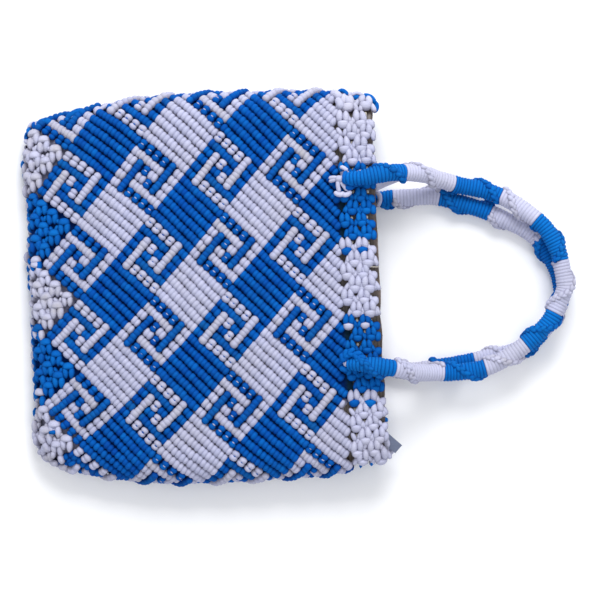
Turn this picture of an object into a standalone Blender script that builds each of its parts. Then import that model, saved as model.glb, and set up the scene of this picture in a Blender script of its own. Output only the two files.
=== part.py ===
"""Macrame handbag lying on its back panel, with both handles laid out beyond the mouth.

The bag's own frame has +X from the closed bottom edge towards the mouth, +Y towards one side
fold and z = 0 on the surface that the back panel rests on. All sizes are in metres.
"""
import math

import bmesh
import bpy
from mathutils import Vector

# Place of the bag's own frame, so that the whole outline is centred on the origin
BAG_PLACE = Vector((-0.0681, 0.0, 0.0))

# Knotted body: outline and heights along its length
BOTTOM_X = -0.1183
MOUTH_X = 0.1210
BODY_SECTIONS = (
    # x, half width, underside, top
    (-0.1183, 0.1170, 0.0000, 0.0210),
    (-0.0970, 0.1210, 0.0000, 0.0270),
    (-0.0750, 0.1260, 0.0000, 0.0310),
    (-0.0500, 0.1305, 0.0000, 0.0340),
    (-0.0200, 0.1330, 0.0000, 0.0360),
    (0.0100, 0.1333, 0.0000, 0.0365),
    (0.0400, 0.1330, 0.0000, 0.0365),
    (0.0700, 0.1322, 0.0000, 0.0365),
    (0.0850, 0.1315, 0.0025, 0.0368),
    (0.0950, 0.1305, 0.0068, 0.0370),
    (0.1100, 0.1275, 0.0108, 0.0375),
    (0.1210, 0.1240, 0.0122, 0.0375),
)
FOLD_REACH = 0.022
FOLD_LEVEL = 0.45
CROWN = 0.22
CORNER_RADIUS = 0.016
EDGE_RADIUS = 0.009
EDGE_STEPS = (0.00015, 0.0010, 0.0032, 0.0065, 0.0120)
WALL = 0.0055
SIDE_COLUMNS = 30
INNER_COLUMNS = 24
CAVITY_START = -0.1083
CAVITY_STEPS = (0.0003, 0.003, 0.009, 0.018)
STATION_SPACING = 0.005
OUTLINE_SAMPLES = 90
PANEL_SPLIT = 0.022
FRONT_TOP = 0.0375
CUT_MARGIN = 0.010

# Clearance between neighbouring pieces
GAP = 0.0006

# Knot lattice on the unrolled tube: cell (u, v) holds six by six knots
GIRTH_CELLS = 20
LATTICE_START_X = -0.0574
CELL_STEP_X = 0.0507
KNOTS_PER_CELL = 6
LATTICE_PHASE = 0.0059
LATTICE_LEAN = -0.0017
LATTICE_SWAY = 0.006
PROBE_X = 0.002
PROBE_SHARE = 0.004

# Raised bars of the fret cells
BAR_CELL_STEPS = (-1, 1, 3, 5)
BAR_CELLS_ACROSS = 4
BAR_STATIONS = 9
BAR_END_TRIM = 0.10
BARS = (
    # knot column, first knot row, last knot row
    (4.5, 0, 4),
    (1.5, 2, 6),
)
BAR_LUMP = 0.30
BAR_PROFILE = (
    # half width, height above the surface
    (0.0032, -0.0014),
    (0.0029, 0.0006),
    (0.0013, 0.0020),
)

# Openwork of the square knots beside the mouth
MESH_PITCH = 0.0173
MESH_X = 0.0985
MESH_ROWS = range(-6, 7)
MESH_GAP = (
    # corners as x and y from the middle of a gap
    (-0.0036, -0.0011),
    (-0.0007, -0.0027),
    (0.0036, -0.0014),
    (0.0036, 0.0014),
    (-0.0007, 0.0027),
    (-0.0036, 0.0011),
)
FRONT_ROOT_ROWS = (4, -3)
BACK_ROOT_ROWS = (3, -3)
NOTCH = (
    # corners as x from the mouth's edge and y from the middle of a notch
    (-0.0052, -0.0015),
    (-0.0020, -0.0030),
    (0.0020, -0.0048),
    (0.0020, 0.0048),
    (-0.0020, 0.0030),
    (-0.0052, 0.0015),
)
NOTCH_ROWS = range(-7, 7)

# Lining pouch
LINING_THICKNESS = 0.0013
LINING_START_X = -0.1062
LINING_MOUTH_X = 0.1214
LINING_STEPS = (0.0004, 0.004, 0.010, 0.020, 0.040)

# Handles: a wrapped sinnet with one raised spiral chain
HANDLE_RADIUS = 0.0053
CHAIN_HEIGHT = 0.0014
CHAIN_PITCH = 0.033
STEPS_PER_TURN = 9
CURVE_STEPS = 12
TIP_RADIUS = 0.0030
TIP_LENGTH = 0.006
ROOT_HOLE_RADIUS = 0.0041
ROOT_HOLE_SIDES = 10
FRONT_FULL_AT = 0.015
BACK_FULL_AT = 0.040
FRONT_ROOTS = ((0.0995, 0.0693), (0.0975, -0.0535))
BACK_ROOTS = ((0.0990, 0.0520), (0.0990, -0.0525))
FRONT_ROUTE = (
    # x, y, height of the centre line
    (0.0995, 0.0693, 0.0315),
    (0.0995, 0.0693, 0.0350),
    (0.0998, 0.0693, 0.0392),
    (0.1020, 0.0694, 0.0428),
    (0.1065, 0.0696, 0.0444),
    (0.1133, 0.0699, 0.0447),
    (0.1215, 0.0709, 0.0446),
    (0.1297, 0.0719, 0.0432),
    (0.1393, 0.0725, 0.0385),
    (0.1562, 0.0708, 0.0270),
    (0.1649, 0.0677, 0.0215),
    (0.1811, 0.0625, 0.0150),
    (0.1986, 0.0580, 0.0140),
    (0.2132, 0.0513, 0.0155),
    (0.2264, 0.0415, 0.0190),
    (0.2375, 0.0305, 0.0207),
    (0.2450, 0.0158, 0.0208),
    (0.2470, 0.0069, 0.0208),
    (0.2490, -0.0080, 0.0208),
    (0.2478, -0.0142, 0.0208),
    (0.2441, -0.0215, 0.0208),
    (0.2368, -0.0335, 0.0208),
    (0.2247, -0.0449, 0.0208),
    (0.2107, -0.0545, 0.0205),
    (0.1947, -0.0623, 0.0203),
    (0.1775, -0.0649, 0.0205),
    (0.1673, -0.0652, 0.0212),
    (0.1585, -0.0648, 0.0235),
    (0.1503, -0.0644, 0.0280),
    (0.1415, -0.0634, 0.0345),
    (0.1335, -0.0610, 0.0406),
    (0.1254, -0.0594, 0.0440),
    (0.1173, -0.0580, 0.0447),
    (0.1085, -0.0563, 0.0448),
    (0.1030, -0.0548, 0.0441),
    (0.0995, -0.0539, 0.0422),
    (0.0977, -0.0535, 0.0390),
    (0.0975, -0.0535, 0.0350),
    (0.0975, -0.0535, 0.0315),
)
BACK_ROUTE = (
    # x, y, height of the centre line
    (0.0990, 0.0520, 0.0127),
    (0.0990, 0.0520, 0.0100),
    (0.0993, 0.0520, 0.0073),
    (0.1010, 0.0521, 0.0050),
    (0.1045, 0.0524, 0.0042),
    (0.1110, 0.0532, 0.0046),
    (0.1200, 0.0548, 0.0057),
    (0.1284, 0.0560, 0.0066),
    (0.1386, 0.0561, 0.0070),
    (0.1522, 0.0563, 0.0070),
    (0.1624, 0.0559, 0.0070),
    (0.1725, 0.0535, 0.0070),
    (0.1859, 0.0489, 0.0070),
    (0.1993, 0.0438, 0.0070),
    (0.2126, 0.0371, 0.0070),
    (0.2230, 0.0315, 0.0070),
    (0.2312, 0.0253, 0.0070),
    (0.2374, 0.0170, 0.0070),
    (0.2433, 0.0064, 0.0070),
    (0.2469, -0.0040, 0.0070),
    (0.2478, -0.0135, 0.0070),
    (0.2462, -0.0215, 0.0070),
    (0.2420, -0.0290, 0.0070),
    (0.2331, -0.0405, 0.0070),
    (0.2231, -0.0490, 0.0070),
    (0.2110, -0.0535, 0.0070),
    (0.1963, -0.0562, 0.0070),
    (0.1785, -0.0592, 0.0070),
    (0.1606, -0.0615, 0.0070),
    (0.1403, -0.0606, 0.0070),
    (0.1260, -0.0575, 0.0064),
    (0.1180, -0.0555, 0.0055),
    (0.1100, -0.0538, 0.0046),
    (0.1045, -0.0528, 0.0042),
    (0.1010, -0.0526, 0.0050),
    (0.0993, -0.0525, 0.0073),
    (0.0990, -0.0525, 0.0100),
    (0.0990, -0.0525, 0.0127),
)

# Tape end that sticks out of one corner of the mouth
TAPE_START = Vector((0.1120, -0.0985))
TAPE_END = Vector((0.1305, -0.1160))
TAPE_WIDTH = 0.0072
TAPE_THICKNESS = 0.0012
TAPE_STATIONS = 7
TAPE_DROOP = 0.0030

# Colours, linear
BLUE = (0.008, 0.150, 0.620, 1.0)
LILAC_WHITE = (0.600, 0.600, 0.800, 1.0)
BROWN = (0.060, 0.040, 0.032, 1.0)
SLATE = (0.070, 0.090, 0.130, 1.0)


def clear_scene():
    """Remove whatever the scene holds."""
    for item in list(bpy.data.objects):
        bpy.data.objects.remove(item, do_unlink=True)


def make_material(name, colour, roughness):
    """One plain finish."""
    material = bpy.data.materials.new(name)
    material.use_nodes = True
    shader = material.node_tree.nodes["Principled BSDF"]
    shader.inputs["Base Color"].default_value = colour
    shader.inputs["Roughness"].default_value = roughness
    shader.inputs["Metallic"].default_value = 0.0
    return material


def make_object(name, mesh_data, material):
    """Put a bmesh into the scene as one object in the bag's frame."""
    bmesh.ops.recalc_face_normals(mesh_data, faces=mesh_data.faces)
    mesh = bpy.data.meshes.new(name)
    mesh_data.to_mesh(mesh)
    mesh_data.free()
    item = bpy.data.objects.new(name, mesh)
    item.location = BAG_PLACE
    bpy.context.scene.collection.objects.link(item)
    if material:
        mesh.materials.append(material)
    return item


def make_cutter(name, mesh_data):
    """A helper solid that the build leaves out."""
    item = make_object(name, mesh_data, None)
    item.hide_render = True
    item.display_type = "WIRE"
    return item


def add_boolean(item, other, operation):
    """Join or cut with the exact solver."""
    change = item.modifiers.new(other.name, "BOOLEAN")
    change.operation = operation
    change.solver = "EXACT"
    change.object = other


def section_row(x):
    """Half width, underside and top at x, read between the stated sections."""
    rows = BODY_SECTIONS
    x = min(max(x, rows[0][0]), rows[-1][0])
    for low, high in zip(rows, rows[1:]):
        if x <= high[0]:
            share = (x - low[0]) / (high[0] - low[0])
            return [a + (b - a) * share for a, b in zip(low[1:], high[1:])]
    return list(rows[-1][1:])


def quarter_round(distance, radius):
    """Rise of a quarter circle, from 0 at the edge to 1 at its radius."""
    if distance >= radius:
        return 1.0
    return math.sqrt(max(0.0, 1.0 - (1.0 - distance / radius) ** 2))


def section(x, columns, inset=0.0, start_x=BOTTOM_X):
    """Closed outline at x as (y, z): over the top from +Y to -Y, then back underneath."""
    half, low, high = section_row(x)
    distance = x - start_x
    half -= inset + CORNER_RADIUS * (1.0 - quarter_round(distance, CORNER_RADIUS))
    low += inset
    high -= inset
    fold = low + FOLD_LEVEL * (high - low)
    closing = quarter_round(distance, EDGE_RADIUS)
    reach = FOLD_REACH - inset / 2
    outline = []
    for side in (1, -1):
        for index in range(columns):
            y = side * math.cos(math.pi * index / columns)
            into_fold = max(0.0, (abs(y) * half - (half - reach)) / reach)
            rounding = math.sqrt(max(0.0, 1.0 - into_fold * into_fold))
            if side > 0:
                crown = (1.0 - CROWN) * rounding + CROWN * (1.0 - y * y)
                z = fold + (high - fold) * closing * crown
            else:
                z = fold - (fold - low) * closing * rounding
            outline.append((y * half, z))
    return outline


def girth_point(x, share):
    """Point of the outer surface at x and a share of the girth, from the +Y fold over the top."""
    outline = section(x, OUTLINE_SAMPLES)
    outline.append(outline[0])
    lengths = [0.0]
    for (y0, z0), (y1, z1) in zip(outline, outline[1:]):
        lengths.append(lengths[-1] + math.hypot(y1 - y0, z1 - z0))
    wanted = (share % 1.0) * lengths[-1]
    for index in range(len(outline) - 1):
        if lengths[index + 1] >= wanted:
            part = (wanted - lengths[index]) / (lengths[index + 1] - lengths[index])
            y = outline[index][0] + part * (outline[index + 1][0] - outline[index][0])
            z = outline[index][1] + part * (outline[index + 1][1] - outline[index][1])
            return Vector((x, y, z))
    return Vector((x, *outline[-1]))


def lattice_point(m, n):
    """Outer surface point and its outward normal at lattice position (m, n)."""
    along = (m - n) / 2
    around = (m + n) / GIRTH_CELLS + LATTICE_PHASE + LATTICE_LEAN * along
    around -= LATTICE_SWAY * math.sin(2 * math.pi * (around - 0.25))
    x = LATTICE_START_X + CELL_STEP_X * along
    point = girth_point(x, around)
    step_x = girth_point(x + PROBE_X, around) - point
    step_y = girth_point(x, around + PROBE_SHARE) - point
    return point, step_y.cross(step_x).normalized()


def skin_rings(mesh_data, rings):
    """Skin a list of closed rings of points with quads and give their loops."""
    loops = [[mesh_data.verts.new(point) for point in ring] for ring in rings]
    count = len(loops[0])
    for first, second in zip(loops, loops[1:]):
        for index in range(count):
            other = (index + 1) % count
            mesh_data.faces.new((first[index], first[other], second[other], second[index]))
    return loops


def flat_ended_tube(mesh_data, rings):
    """Skin rings and close both ends with one face each."""
    loops = skin_rings(mesh_data, rings)
    mesh_data.faces.new(loops[0][::-1])
    mesh_data.faces.new(loops[-1])
    return mesh_data


def pouch_tube(rings):
    """Skin rings and close both flattened ends side to side."""
    mesh_data = bmesh.new()
    loops = skin_rings(mesh_data, rings)
    close_side_to_side(mesh_data, loops[0])
    close_side_to_side(mesh_data, loops[-1])
    return mesh_data


def close_side_to_side(mesh_data, loop):
    """Close a flattened loop with strips between its upper and its lower half."""
    count = len(loop)
    half = count // 2
    for index in range(half):
        corners = [loop[index], loop[index + 1], loop[(count - index - 1) % count]]
        corners.append(loop[(count - index) % count])
        unique = list(dict.fromkeys(corners))
        mesh_data.faces.new(unique)


def pouch_ring(x, columns, inset=0.0, start_x=BOTTOM_X):
    """One ring of points of the pouch at x."""
    return [Vector((x, y, z)) for y, z in section(x, columns, inset, start_x)]


def make_cavity():
    """Space inside the knotted wall, running out past the mouth."""
    stations = [CAVITY_START + step for step in CAVITY_STEPS]
    stations += [row[0] for row in BODY_SECTIONS if row[0] > stations[-1] + STATION_SPACING]
    stations.append(MOUTH_X + CUT_MARGIN)
    rings = [pouch_ring(x, INNER_COLUMNS, WALL, CAVITY_START) for x in stations]
    return make_cutter("cavity_space", pouch_tube(rings))


def prism(mesh_data, outline, low, high):
    """Add an upright prism over an outline of (x, y) points."""
    bottom = [mesh_data.verts.new((x, y, low)) for x, y in outline]
    top = [mesh_data.verts.new((x, y, high)) for x, y in outline]
    count = len(outline)
    for index in range(count):
        other = (index + 1) % count
        mesh_data.faces.new((bottom[index], bottom[other], top[other], top[index]))
    mesh_data.faces.new(bottom[::-1])
    mesh_data.faces.new(top)


def placed(outline, x, y):
    """An outline's corners moved to x and y."""
    return [(x + across, y + aside) for across, aside in outline]


def round_outline(x, y, radius, sides):
    """Points of a circle."""
    turn = 2 * math.pi / sides
    return [(x + radius * math.cos(turn * i), y + radius * math.sin(turn * i)) for i in range(sides)]


def make_openwork():
    """Gaps, notches and handle holes of both panels as upright cutters."""
    front = (PANEL_SPLIT, 2 * FRONT_TOP)
    back = (-CUT_MARGIN, PANEL_SPLIT)
    mesh_data = bmesh.new()
    for row in MESH_ROWS:
        outline = placed(MESH_GAP, MESH_X, row * MESH_PITCH)
        if row in FRONT_ROOT_ROWS and row not in BACK_ROOT_ROWS:
            prism(mesh_data, outline, *back)
        elif row in BACK_ROOT_ROWS and row not in FRONT_ROOT_ROWS:
            prism(mesh_data, outline, *front)
        elif row not in FRONT_ROOT_ROWS:
            prism(mesh_data, outline, back[0], front[1])
    for row in NOTCH_ROWS:
        outline = placed(NOTCH, MOUTH_X, (row + 0.5) * MESH_PITCH)
        prism(mesh_data, outline, back[0], front[1])
    for x, y in FRONT_ROOTS:
        prism(mesh_data, round_outline(x, y, ROOT_HOLE_RADIUS, ROOT_HOLE_SIDES), *front)
    for x, y in BACK_ROOTS:
        prism(mesh_data, round_outline(x, y, ROOT_HOLE_RADIUS, ROOT_HOLE_SIDES), *back)
    return make_cutter("openwork_space", mesh_data)


def bar_rings(start, end):
    """Rings of one lumpy bar that lies on the surface between two lattice positions."""
    points = []
    for index in range(BAR_STATIONS):
        share = BAR_END_TRIM / 2 + (1.0 - BAR_END_TRIM) * index / (BAR_STATIONS - 1)
        points.append(lattice_point(*(a + (b - a) * share for a, b in zip(start, end))))
    rings = []
    for index, (point, normal) in enumerate(points):
        before = points[max(index - 1, 0)][0]
        after = points[min(index + 1, BAR_STATIONS - 1)][0]
        across = normal.cross(after - before).normalized()
        lump = 1.0 if index % 2 else 1.0 - BAR_LUMP
        ring = []
        for side, profile in ((1, BAR_PROFILE), (-1, reversed(BAR_PROFILE))):
            for width, height in profile:
                level = height * lump if height > 0 else height
                ring.append(point + across * (side * width * lump) + normal * level)
        rings.append(ring)
    return rings


def make_bars():
    """Two long raised bars in each fret cell of the front panel, as one joined helper."""
    whole = bmesh.new()
    for step in BAR_CELL_STEPS:
        for row in range(BAR_CELLS_ACROSS):
            v = row + (1 - step) // 2
            u = v + step
            for column, first, last in BARS:
                m = u + column / KNOTS_PER_CELL
                ends = [(m, v + knot / KNOTS_PER_CELL) for knot in (first, last)]
                flat_ended_tube(whole, bar_rings(*ends))
    return make_cutter("raised_bars", whole)


def make_body(material):
    """Knotted pouch with its wall, gaps, scalloped mouth and raised bars."""
    stations = [BOTTOM_X + step for step in EDGE_STEPS]
    stations += [row[0] for row in BODY_SECTIONS[1:]]
    rings = [pouch_ring(x, SIDE_COLUMNS) for x in stations]
    body = make_object("knotted_body", pouch_tube(rings), material)
    add_boolean(body, make_bars(), "UNION")
    add_boolean(body, make_cavity(), "DIFFERENCE")
    add_boolean(body, make_openwork(), "DIFFERENCE")
    body.data.shade_smooth()


def make_lining(material):
    """Thin satin pouch inside the knotted wall, open at the mouth."""
    outer_inset = WALL + GAP
    inner_inset = outer_inset + LINING_THICKNESS
    stations = [LINING_START_X + step for step in LINING_STEPS]
    stations += [row[0] for row in BODY_SECTIONS
                 if stations[-1] + STATION_SPACING < row[0] < MOUTH_X]
    outer = [pouch_ring(x, INNER_COLUMNS, outer_inset, LINING_START_X)
             for x in stations + [LINING_MOUTH_X]]
    inner_start = LINING_START_X + LINING_THICKNESS
    inner = [pouch_ring(x + LINING_THICKNESS, INNER_COLUMNS, inner_inset, inner_start)
             for x in stations]
    inner.append(pouch_ring(LINING_MOUTH_X, INNER_COLUMNS, inner_inset, inner_start))
    rings = outer + inner[::-1]
    lining = make_object("satin_lining", pouch_tube(rings), material)
    lining.data.shade_smooth()


def smooth_route(points, step):
    """Evenly spaced points on a smooth curve through the route's own points."""
    fine = []
    last = len(points) - 1
    for index in range(last):
        p0, p1, p2, p3 = (points[min(max(index + k, 0), last)] for k in (-1, 0, 1, 2))
        for part in range(CURVE_STEPS):
            t = part / CURVE_STEPS
            fine.append(0.5 * (2 * p1 + (p2 - p0) * t + (2 * p0 - 5 * p1 + 4 * p2 - p3) * t ** 2
                               + (3 * p1 - p0 - 3 * p2 + p3) * t ** 3))
    fine.append(points[-1])
    lengths = [0.0]
    for one, two in zip(fine, fine[1:]):
        lengths.append(lengths[-1] + (two - one).length)
    count = round(lengths[-1] / step)
    even = []
    place = 0
    for index in range(count + 1):
        wanted = lengths[-1] * index / count
        while place < len(fine) - 2 and lengths[place + 1] < wanted:
            place += 1
        share = (wanted - lengths[place]) / (lengths[place + 1] - lengths[place])
        even.append(fine[place].lerp(fine[place + 1], min(max(share, 0.0), 1.0)))
    return even, lengths[-1]


def make_handle(name, route, full_at, material):
    """Wrapped handle along a route, with its chain ridge turning round it."""
    points = [Vector(row) for row in route]
    even, length = smooth_route(points, CHAIN_PITCH / STEPS_PER_TURN)
    spacing = length / (len(even) - 1)
    side = Vector((0.0, 1.0, 0.0))
    rings = []
    for index, point in enumerate(even):
        ahead = even[min(index + 1, len(even) - 1)] - even[max(index - 1, 0)]
        ahead.normalize()
        side = (side - ahead * side.dot(ahead)).normalized()
        up = ahead.cross(side)
        from_end = min(index, len(even) - 1 - index) * spacing
        growth = min(max((from_end - TIP_LENGTH) / (full_at - TIP_LENGTH), 0.0), 1.0)
        radius = TIP_RADIUS + (HANDLE_RADIUS - TIP_RADIUS) * growth
        ring = []
        for corner in range(STEPS_PER_TURN):
            angle = 2 * math.pi * (corner + index) / STEPS_PER_TURN
            reach = radius + (CHAIN_HEIGHT * growth if corner == 0 else 0.0)
            ring.append(point + (side * math.cos(angle) + up * math.sin(angle)) * reach)
        rings.append(ring)
    handle = make_object(name, flat_ended_tube(bmesh.new(), rings), material)
    handle.data.shade_smooth()


def make_tape(material):
    """Short tape end that rests on the lining and sticks out of the mouth's corner."""
    ahead = (TAPE_END - TAPE_START).normalized()
    across = Vector((-ahead.y, ahead.x))
    rings = []
    for index in range(TAPE_STATIONS):
        share = index / (TAPE_STATIONS - 1)
        middle = TAPE_START.lerp(TAPE_END, share)
        half, low, high = section_row(middle.x)
        inset = WALL + GAP + LINING_THICKNESS
        fold = low + inset + FOLD_LEVEL * (high - low - 2 * inset)
        bend = TAPE_DROOP * share ** 3
        ring = []
        for side, level in ((1, 0), (1, 1), (-1, 1), (-1, 0)):
            place = middle + across * (side * TAPE_WIDTH / 2)
            ring.append(Vector((place.x, place.y, fold - bend + level * TAPE_THICKNESS)))
        rings.append(ring)
    make_object("tape_end", flat_ended_tube(bmesh.new(), rings), material)


def build():
    """Make every piece."""
    clear_scene()
    blue = make_material("blue_cord", BLUE, 0.7)
    white = make_material("white_cord", LILAC_WHITE, 0.75)
    brown = make_material("brown_satin", BROWN, 0.45)
    slate = make_material("slate_tape", SLATE, 0.8)
    make_body(blue)
    make_lining(brown)
    make_handle("front_handle", FRONT_ROUTE, FRONT_FULL_AT, white)
    make_handle("back_handle", BACK_ROUTE, BACK_FULL_AT, white)
    make_tape(slate)


build()
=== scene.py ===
"""Looks of a macrame handbag that lies on its back panel.

The pouch's surface and the handles' routes are those of the solids, apart from two corners of the
surface. The knot lattice is that of the solids, settled a little on the front panel. Sizes are in
metres unless a comment says millimetres. The bag's own frame has +X from the closed bottom edge to
the mouth and z = 0 on the surface it lies on, and BAG_PLACE moves it into the row's frame. Colours
of cord are 0 for blue and 1 for white.
"""
import math

import bpy
import numpy as np
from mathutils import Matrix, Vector


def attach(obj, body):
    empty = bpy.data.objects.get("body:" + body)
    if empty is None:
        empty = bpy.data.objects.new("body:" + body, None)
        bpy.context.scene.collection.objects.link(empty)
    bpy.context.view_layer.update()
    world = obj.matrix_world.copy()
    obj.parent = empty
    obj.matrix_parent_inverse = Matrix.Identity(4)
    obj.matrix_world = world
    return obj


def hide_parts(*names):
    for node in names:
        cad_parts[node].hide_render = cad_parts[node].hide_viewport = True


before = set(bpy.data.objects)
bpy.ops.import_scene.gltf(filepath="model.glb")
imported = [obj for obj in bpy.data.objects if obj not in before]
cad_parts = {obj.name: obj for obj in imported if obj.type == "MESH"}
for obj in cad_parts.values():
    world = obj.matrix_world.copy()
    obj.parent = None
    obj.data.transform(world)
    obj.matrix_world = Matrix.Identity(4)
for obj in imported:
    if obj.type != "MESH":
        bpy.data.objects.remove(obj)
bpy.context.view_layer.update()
draw = np.random.default_rng(7)

BAG_PLACE = np.array((-0.0681, 0.0, 0.0))
UP = np.array((0.0, 0.0, 1.0))

# Knotted body, as in the solids
BOTTOM_X = -0.1183
MOUTH_X = 0.1210
BODY_SECTIONS = np.array((
    # x, half width, underside, top in millimetres
    (-118.3, 117, 0, 21), (-97, 121, 0, 27), (-75, 126, 0, 31), (-50, 130.5, 0, 34), (-20, 133, 0, 36),
    (10, 133.3, 0, 36.5), (40, 133, 0, 36.5), (70, 132.2, 0, 36.5), (85, 131.5, 2.5, 36.8),
    (95, 130.5, 6.8, 37), (110, 127.5, 10.8, 37.5), (121, 124, 12.2, 37.5),
)) / 1000
FOLD_REACH = 0.022
FOLD_LEVEL = 0.45
CROWN = 0.22
CORNER_RADIUS = 0.016
EDGE_RADIUS = 0.009
WALL = 0.0055
GAP = 0.0006
OUTLINE_COLUMNS = 240
GRID_STATIONS = 161
GRID_SHARES = 721
PROBE_X = 0.0008
PROBE_SHARE = 0.002
REST_HEIGHT = 0.0016
ROUTE_STEP = 0.0005
ROUTE_PARTS = 12
LEVELLING = 0.2

# Corners of the closed edge: one is pushed out and the other drawn in, both towards +Y
CORNER_X = -0.093
CORNER_LENGTH = 0.016
CORNER_Y = 0.075
CORNER_WIDTH = 0.035
CORNER_PUSH = 0.0018
CORNER_DRAW = 0.0034

# Knot lattice: cell (u, v) holds six by six knots of two beads each
GIRTH_CELLS = 20
LATTICE_START_X = -0.0574
CELL_STEP_X = 0.0507
LATTICE_PHASE = 0.0059
LATTICE_LEAN = -0.0017
LATTICE_SWAY = 0.006
LATTICE_END_X = 0.0968
KNOTS_PER_CELL = 6
FIRST_DIAGONAL = -1
LAST_DIAGONAL = 6
FRET = (
    # way of the carrier cord in each knot of a fret cell, row by row
    "/////\\",
    "\\\\\\\\/\\",
    "\\//\\/\\",
    "\\/\\//\\",
    "\\/\\\\\\\\",
    "\\/////",
)
BARS = (
    # knot column, first row, last row of the two long raised bars
    (4, 0, 3),
    (1, 2, 5),
)
BEADS = {
    # half size along the ridge, across it, half height, depth of the middle, lean
    "ridge": (0.00240, 0.00308, 0.0034, 0.0025, 0.11),
    "bar": (0.00280, 0.00262, 0.0034, 0.0008, -0.05),
    "single": (0.00225, 0.00275, 0.0032, 0.0018, 0.05),
    "fleck": (0.00058, 0.00125, 0.0014, 0.0002, 0.0),
}
WHITE_SPREAD = 1.12
HOLE_REACH = 0.0040
# Painted light level of each part, in steps of the random tint: the lattice is painted darker as if in shade,
# the knots sit near the middle, and the handles are painted lighter as if lit from above
LATTICE_PAINTED_LIGHT_LEVEL = -1.3
KNOT_PAINTED_LIGHT_LEVEL = 0.1
HANDLE_PAINTED_LIGHT_LEVEL = 0.9
FLECK_START_X = -0.060
GROUND_DEPTH = 0.0033
BED_SHORT = 0.0006
# How far the bed, dark with painted shade, reaches past the lattice under the band's blue rows
BED_UNDER_BLUE = 0.0040
BAND_START_X = 0.0992
LATTICE_CLEAR = 0.001
LATTICE_PROBE = 0.05
FRAME_WEAR = 0.55
BAR_WEAR = 0.45

# Spreads of random steps: x and share of the girth, turn and size of beads and knots, tint, braid
PLACE_SPREAD = 0.00012
SHARE_SPREAD = 0.00022
TURN_SPREAD = 0.05
SIZE_SPREAD = 0.04
KNOT_LEAN_SPREAD = 0.06
KNOT_SIZE_SPREAD = 0.045
TINT_SPREAD = 0.65
STRAND_SHIFT = 7.0

# Looks of beads: height below which a bead gets painted shade, as in the creases, and how fast that painted
# shade deepens, strands along its two ways
PAINTED_SHADE_TOP = 0.86
PAINTED_SHADE_DEPTH = 0.80
PAINTED_SHADE_POWER = 1.5
BEAD_STRANDS = (2.0, 2.6)

# How the front panel has settled away from an even lattice
CORNER_SHIFTS = np.array((
    # lattice corner (u, v), shift along x and y in millimetres
    (-1, 1, -6.7, 3), (0, 0, -7.5, 0.9), (0, 1, -5, 1.2), (0, 2, -1.3, 3.3), (1, -1, -3.1, 1),
    (1, 0, -3.4, -1.9), (1, 1, -1.5, -2), (1, 2, -0.4, 0), (1, 3, 0.3, 0.4), (2, -1, -1, -1.5),
    (2, 0, -0.3, -2.6), (2, 1, 0.2, -0.6), (2, 2, 1, -0.8), (2, 3, -0.9, -0.8), (2, 4, 1, -0.9),
    (3, -2, -1.1, -1.5), (3, -1, -1, -1.6), (3, 0, -0.3, -1.1), (3, 1, 0.3, -1.8), (3, 2, 1.4, -0.1),
    (3, 3, -1, -0.2), (3, 4, -2.3, 0.4), (4, -2, -0.2, 1.8), (4, -1, -1.1, -0.6), (4, 0, 0, -0.8),
    (4, 1, -0.5, -0.8), (4, 2, 0.1, -0.8), (4, 3, -1.5, 0.3), (4, 4, -2.1, 0.8), (4, 5, -7, -0.6),
    (5, -1, -0.2, 0.1), (5, 0, -1, -0.1), (5, 1, -0.6, -0.3), (5, 2, -0.2, 0.8), (5, 3, -0.8, -0.8),
    (5, 4, -3.8, 1), (5, 5, 0, -0.7), (6, 0, -1, 0.3), (6, 1, -0.6, 1.5), (6, 2, 0.4, 0.6),
    (6, 3, -1.1, 1.6), (6, 4, 2.7, -0.1), (7, 1, -0.7, 0.1), (7, 2, 0.6, 2.9), (7, 3, 4.8, -0.2),
))
SHIFT_REACH = 0.45
SHIFT_REST = 0.12
FOLD_FADE = 0.02
LEAST_SLOPE = 0.25

# Square knots of the openwork band at the mouth
MESH_PITCH = 0.0173
MOUTH_COLUMNS = (
    # x at the middle, extra x towards the corners, row offset
    (0.0999, 0.0018, 0.5),
    (0.1055, 0.0019, 0.0),
    (0.1111, 0.0020, 0.5),
    (0.1145, 0.0024, 0.0),
)
MOUTH_BOW = 0.0017
BOW_WIDTH = 0.09
BOW_LIMIT = 1.2
MOUTH_ROWS = 7
WHITE_KNOT = 1.13
BAND_ROWS = 3
CORE_CLEAR = 0.002
KNOT_WEAR = 0.15
BAND_REACH = 0.127
PAST_MOUTH = 0.004
CORNER_STRETCH = (
    # growth of y at the -Y and at the +Y end of the band
    -0.017, 0.022,
)
CORNER_STEP = (
    # step along x at the ends of the other columns and of the last one
    -0.0022, 0.0006,
)
CORNER_GROWTH = 0.12

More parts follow.
